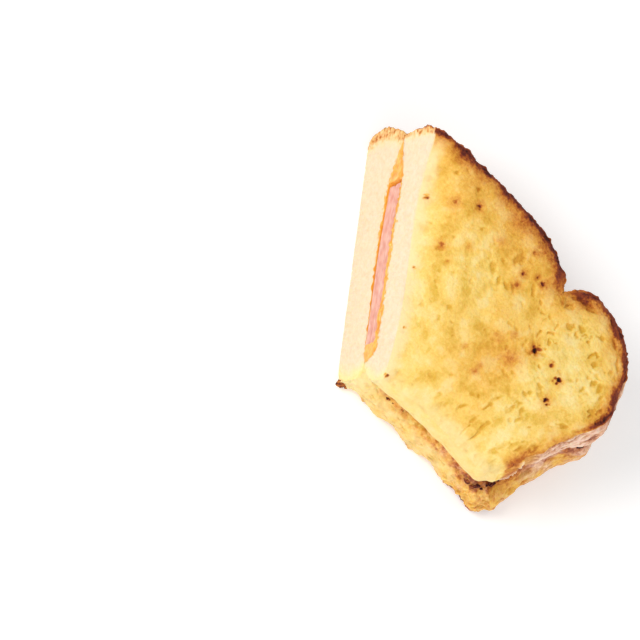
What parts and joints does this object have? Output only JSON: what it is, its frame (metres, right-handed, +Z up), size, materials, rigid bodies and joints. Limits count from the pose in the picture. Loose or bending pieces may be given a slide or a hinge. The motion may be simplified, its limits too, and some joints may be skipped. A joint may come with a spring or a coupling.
{
  "type": "ham and cheese french toast piece",
  "caption": "Cut piece of a ham and cheese french toast sandwich: toasted domed bread above and below, with ham and melted cheese showing along the knife cut.",
  "frame": {"origin": "bottom centre of the piece's box, on the surface it lies on", "axes": "+X along the front edge from the knife cut to the side crust, +Y from the front edge back to the domed crust, +Z up through the slices"},
  "size_m": [0.0854, 0.0522, 0.0304],
  "materials": {
    "bread": "matte",
    "ham": "satin",
    "cheese": "satin"
  },
  "bodies": {
    "root": {"bread_lower": "bread", "bread_upper": "bread", "ham_lower": "ham", "ham_upper": "ham", "cheese": "cheese"}
  },
  "joints": []
}
